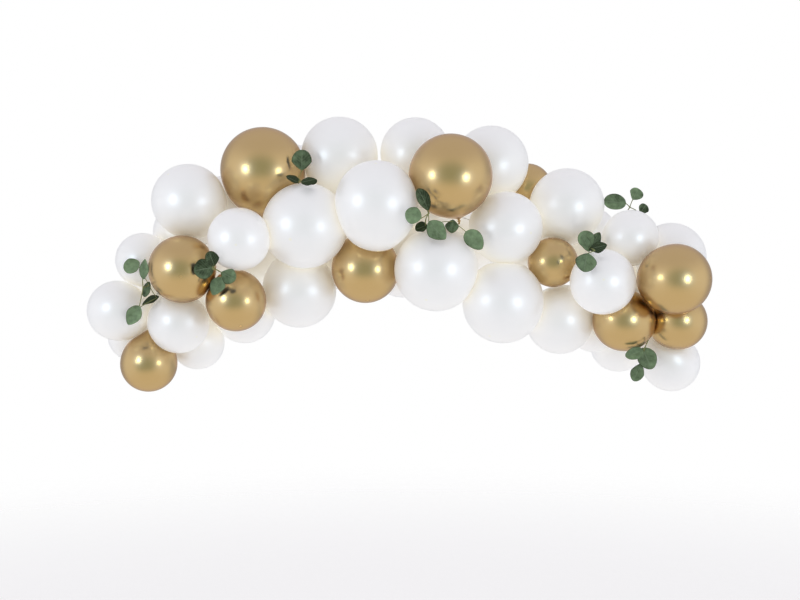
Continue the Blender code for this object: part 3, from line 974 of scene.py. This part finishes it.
class Foliage:
    """Gathers the leaves and stems of one sprig in a single mesh."""

    def __init__(self):
        self.vertices = []
        self.faces = []
        self.attributes = {name: [] for name in ("along", "across", "under", "dust", "stem")}

    def add(self, vertices, faces, **attributes):
        base = len(self.vertices)
        self.vertices += [tuple(vertex) for vertex in vertices]
        self.faces += [tuple(base + corner for corner in face) for face in faces]
        for name, values in self.attributes.items():
            given = attributes.get(name, 0.0)
            values += list(np.broadcast_to(given, len(vertices)))

    def add_leaf(self, leaf, look, draw):
        """A leaf's top and its under side, closed by a rim."""
        along = (1 - np.cos(np.linspace(*LEAF_ENDS, LEAF_ROWS + 1))) / 2
        across = np.linspace(-1, 1, LEAF_COLUMNS + 1)
        top = leaf_top(leaf, look, along, across, draw)
        below = top - look.thickness * np.array(leaf.out)
        vertices = np.concatenate([top.reshape(-1, 3), below.reshape(-1, 3)])
        numbers = np.arange(top[..., 0].size).reshape(LEAF_ROWS + 1, LEAF_COLUMNS + 1)
        count = numbers.size
        quads = np.stack([numbers[:-1, :-1], numbers[:-1, 1:], numbers[1:, 1:], numbers[1:, :-1]], axis=-1)
        faces = []
        for quad in quads.reshape(-1, 4).tolist():
            faces += [quad, [count + corner for corner in reversed(quad)]]
        rim = [*numbers[0, :-1], *numbers[:-1, -1], *numbers[-1, :0:-1], *numbers[:0:-1, 0]]
        for here, after in zip(rim, rim[1:] + rim[:1]):
            faces.append((after, here, count + here, count + after))
        # A leaf's bloom is a random amount of dust, less a painted shade that grows as the leaf turns away
        # from the front.
        tilt = math.acos(min(1.0, -leaf.out.y))
        self.add(vertices, faces, along=np.tile(np.repeat(along, LEAF_COLUMNS + 1), 2),
                 across=np.tile(across, 2 * (LEAF_ROWS + 1)), under=np.repeat([0.0, 1.0], count),
                 dust=draw.uniform(*DUST) - PAINTED_SHADE_BY_TILT * tilt ** 2)

    def add_stem(self, start, end, thick, thin, draw):
        """A gently bowed stem that swells a little at its joints."""
        start, end = np.array(start), np.array(end)
        along = end - start
        length = np.linalg.norm(along)
        along /= length
        first = np.cross(along, (0.3, 0.2, 1.0))
        first /= np.linalg.norm(first)
        second = np.cross(along, first)
        bow = draw.uniform(-STEM_BOW, STEM_BOW, 2) * length
        share = np.linspace(0, 1, STEM_STEPS + 1)
        middle = (start + share[:, None] * (end - start)
                  + np.sin(math.pi * share)[:, None] * (bow[0] * first + bow[1] * second))
        swell = sum(np.exp(-(reach * length / JOINT_LENGTH) ** 2) for reach in (1 - share, share))
        radius = (thick + (thin - thick) * share) * (1 + JOINT_SWELL * swell)
        around = np.arange(STEM_SIDES) * 2 * math.pi / STEM_SIDES
        ring = np.cos(around)[:, None] * first + np.sin(around)[:, None] * second
        vertices = (middle[:, None] + radius[:, None, None] * ring).reshape(-1, 3)
        vertices = np.vstack([vertices, start - radius[0] * STEM_ROUND_END * along,
                              end + radius[-1] * STEM_ROUND_END * along])
        self.add(vertices, tube_faces(STEM_STEPS + 1, STEM_SIDES), stem=1.0)


def dress_sprig(node, look, material):
    """Grows one sprig: its stem from root to heart, then each leaf from the nearest joint."""
    leaves, root, heart = read_sprig(node)
    draw = np.random.default_rng(LEAF_SEED + int(node[-1]))
    foliage = Foliage()
    heart_radius = STEM_TAPER * look.stem_radius
    foliage.add_stem(root, heart, look.stem_radius, heart_radius, draw)
    joined = [(heart, heart_radius)]
    waiting = list(leaves)
    while waiting:
        (start, thick), leaf = min(((joint, leaf) for joint in joined for leaf in waiting),
                                   key=lambda pair: (pair[0][0] - pair[1].joint).length)
        under = leaf.joint - STEM_BEHIND_LEAF * leaf.out
        base = leaf.base - STEM_BEHIND_LEAF * leaf.out
        thin = BRANCH_TAPER * thick
        if (start - base).length < (start - under).length:
            foliage.add_stem(start, base, thick, thin, draw)
            foliage.add_stem(base, under, thin, STALK_TAPER * thin, draw)
        else:
            foliage.add_stem(start, under, thick, thin, draw)
        foliage.add_leaf(leaf, look, draw)
        waiting.remove(leaf)
        joined.append((under, thin))
    add_piece(f"{node}_foliage", foliage.vertices, foliage.faces, material, node,
              foliage.attributes)


# Studio


def add_floor(look):
    """A pale round floor whose edge melts into the surround."""
    radii = FLOOR_REACH * (np.arange(FLOOR_RINGS) + 1) / FLOOR_RINGS
    around = np.arange(FLOOR_SEGMENTS) * 2 * math.pi / FLOOR_SEGMENTS
    vertices = [(0.0, 0.0, 0.0)]
    vertices += [(radius * math.cos(angle), radius * math.sin(angle), 0.0)
                 for radius in radii for angle in around]
    faces = [(0, 1 + here, 1 + (here + 1) % FLOOR_SEGMENTS) for here in range(FLOOR_SEGMENTS)]
    for ring in range(FLOOR_RINGS - 1):
        inner = 1 + ring * FLOOR_SEGMENTS
        faces += band_faces(inner + FLOOR_SEGMENTS, inner, FLOOR_SEGMENTS)
    mesh = bpy.data.meshes.new("floor")
    mesh.from_pydata(vertices, [], faces)
    material, nodes = new_material("pale_floor")
    spread = nodes.node("ShaderNodeVectorMath", {"operation": "LENGTH"}, {0: nodes.place()}, "Value")
    nodes.surface({
        "Base Color": colour(FLOOR_COLOUR),
        "Roughness": 0.8,
        "Alpha": 1.0 - nodes.step(spread, *FLOOR_FADE),
        "Emission Color": colour(WHITE),
        "Emission Strength": FLOOR_GLOW,
    })
    mesh.materials.append(material)
    floor = placed("floor", mesh)
    floor.location = (CENTRE.x, CENTRE.y, -look.hanging_height)
    floor.visible_glossy = False


def add_light(name, place, look):
    """An oval soft light aimed at the garland, which shows in its shine alone."""
    light = bpy.data.lights.new(name, "AREA")
    light.shape = "ELLIPSE"
    light.size = look.light_width
    light.size_y = look.light_height
    light.energy = look.light_power
    light.color = look.light_colour
    lamp = placed(name, light)
    lamp.location = place
    lamp.rotation_euler = (CENTRE - Vector(place)).to_track_quat("-Z", "Y").to_euler()
    lamp.visible_camera = False
    lamp.visible_diffuse = False


def surround_with_light(look):
    """A pale surround, brightest at the sides, that the camera itself sees as plain white."""
    world = bpy.data.worlds.new("surround")
    world.use_nodes = True
    bpy.context.scene.world = world
    nodes = Nodes(world.node_tree)
    direction = nodes.node("ShaderNodeTexCoord", {}, {}, "Generated")
    facing = nodes.node("ShaderNodeSeparateXYZ", {}, {0: direction}, "Y")
    raised = nodes.node("ShaderNodeSeparateXYZ", {}, {0: direction}, "Z")
    shine = nodes.node("ShaderNodeLightPath", {}, {}, "Is Glossy Ray")
    front = nodes.blend(shine, look.front, look.front_shine)
    glow = nodes.blend(nodes.step(facing, low=-0.99, high=-0.55), front, look.surround)
    glow = nodes.blend(nodes.step(facing, low=0.0, high=0.6), glow, look.back)
    glow = nodes.blend(nodes.step(raised, low=0.15, high=0.85), glow, look.above)
    glow = nodes.blend(nodes.step(raised, low=-0.15, high=-0.80), glow, look.below)
    seen = nodes.node("ShaderNodeLightPath", {}, {}, "Is Camera Ray")
    shown = nodes.node("ShaderNodeBackground", {}, {"Color": nodes.blend(seen, glow, WHITE)})
    nodes.node("ShaderNodeOutputWorld", {}, {"Surface": shown})


# Operators


class GARLAND_OT_white_balloons(bpy.types.Operator):
    """Blow up the white latex balloons"""

    bl_idname = "garland.white_balloons"
    bl_label = "White balloons"

    def execute(self, context):
        dress_balloons("white", white_latex(context.scene.garland_white_latex))
        return {"FINISHED"}


class GARLAND_OT_gold_balloons(bpy.types.Operator):
    """Blow up the gold latex balloons"""

    bl_idname = "garland.gold_balloons"
    bl_label = "Gold balloons"

    def execute(self, context):
        dress_balloons("gold", gold_latex(context.scene.garland_gold_latex))
        return {"FINISHED"}


class GARLAND_OT_strip(bpy.types.Operator):
    """Punch the plastic strip and bend it to its arch"""

    bl_idname = "garland.strip"
    bl_label = "Strip"

    def execute(self, context):
        look = context.scene.garland_strip
        low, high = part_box("garland_strip")
        course = smooth_course(strip_course(), BEND_STEP)
        walked = walked_lengths(course)
        cells = round(walked[-1] / look.hole_pitch)
        plan, faces = punched_cells(cells, walked[-1] / cells, high.y - low.y, look.hole_diameter / 2)
        plan, faces = merged(plan, faces)
        place = interpolated(plan[:, 0], walked, course)
        upward = interpolated(plan[:, 0], walked, side_normals(course))
        place += (plan[:, 2:] + STRIP_THICKNESS / 2) * upward
        place[:, 1] += plan[:, 1]
        piece = add_piece("garland_strip_band", place, faces, strip_plastic(look),
                          "garland_strip", {})
        piece.data.set_sharp_from_angle(angle=SHARP_EDGE)
        return {"FINISHED"}


class GARLAND_OT_eucalyptus(bpy.types.Operator):
    """Grow the sprigs of eucalyptus"""

    bl_idname = "garland.eucalyptus"
    bl_label = "Eucalyptus"

    def execute(self, context):
        look = context.scene.garland_leaves
        material = eucalyptus(look)
        for node in sorted(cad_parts):
            if node.startswith("eucalyptus_sprig_"):
                dress_sprig(node, look, material)
        return {"FINISHED"}


class GARLAND_OT_studio(bpy.types.Operator):
    """Set up the floor, the soft lights, the pale surround and the camera"""

    bl_idname = "garland.studio"
    bl_label = "Studio"

    def execute(self, context):
        look = context.scene.garland_studio
        add_floor(look)
        for name, place in LIGHT_PLACES.items():
            add_light(name, place, look)
        surround_with_light(look)
        camera = bpy.data.cameras.new("camera")
        camera.lens = look.lens
        stand = placed("camera", camera)
        stand.location = (0, -look.camera_distance, look.camera_height)
        stand.rotation_euler = (math.pi / 2, 0, 0)
        context.scene.camera = stand
        context.scene.view_settings.view_transform = "Standard"
        return {"FINISHED"}


class GARLAND_PT_sidebar(bpy.types.Panel):
    """Lists the pieces of the garland and their settings"""

    bl_label = "Balloon garland"
    bl_idname = "GARLAND_PT_sidebar"
    bl_space_type = "VIEW_3D"
    bl_region_type = "UI"
    bl_category = "Garland"

    def draw(self, context):
        for operator in OPERATORS:
            self.layout.operator(operator.bl_idname)
        for name, group in SETTINGS.items():
            box = self.layout.box()
            box.label(text=group.__doc__)
            for title in group.__annotations__:
                box.prop(getattr(context.scene, name), title)


OPERATORS = (
    GARLAND_OT_white_balloons,
    GARLAND_OT_gold_balloons,
    GARLAND_OT_strip,
    GARLAND_OT_eucalyptus,
    GARLAND_OT_studio,
)


def register():
    for name, group in SETTINGS.items():
        bpy.utils.register_class(group)
        setattr(bpy.types.Scene, name, PointerProperty(type=group))
    for shown in (*OPERATORS, GARLAND_PT_sidebar):
        bpy.utils.register_class(shown)


def unregister():
    for shown in (GARLAND_PT_sidebar, *reversed(OPERATORS)):
        bpy.utils.unregister_class(shown)
    for name, group in SETTINGS.items():
        delattr(bpy.types.Scene, name)
        bpy.utils.unregister_class(group)


def main():
    register()
    bpy.ops.garland.white_balloons()
    bpy.ops.garland.gold_balloons()
    bpy.ops.garland.strip()
    bpy.ops.garland.eucalyptus()
    bpy.ops.garland.studio()


if __name__ == "__main__":
    main()
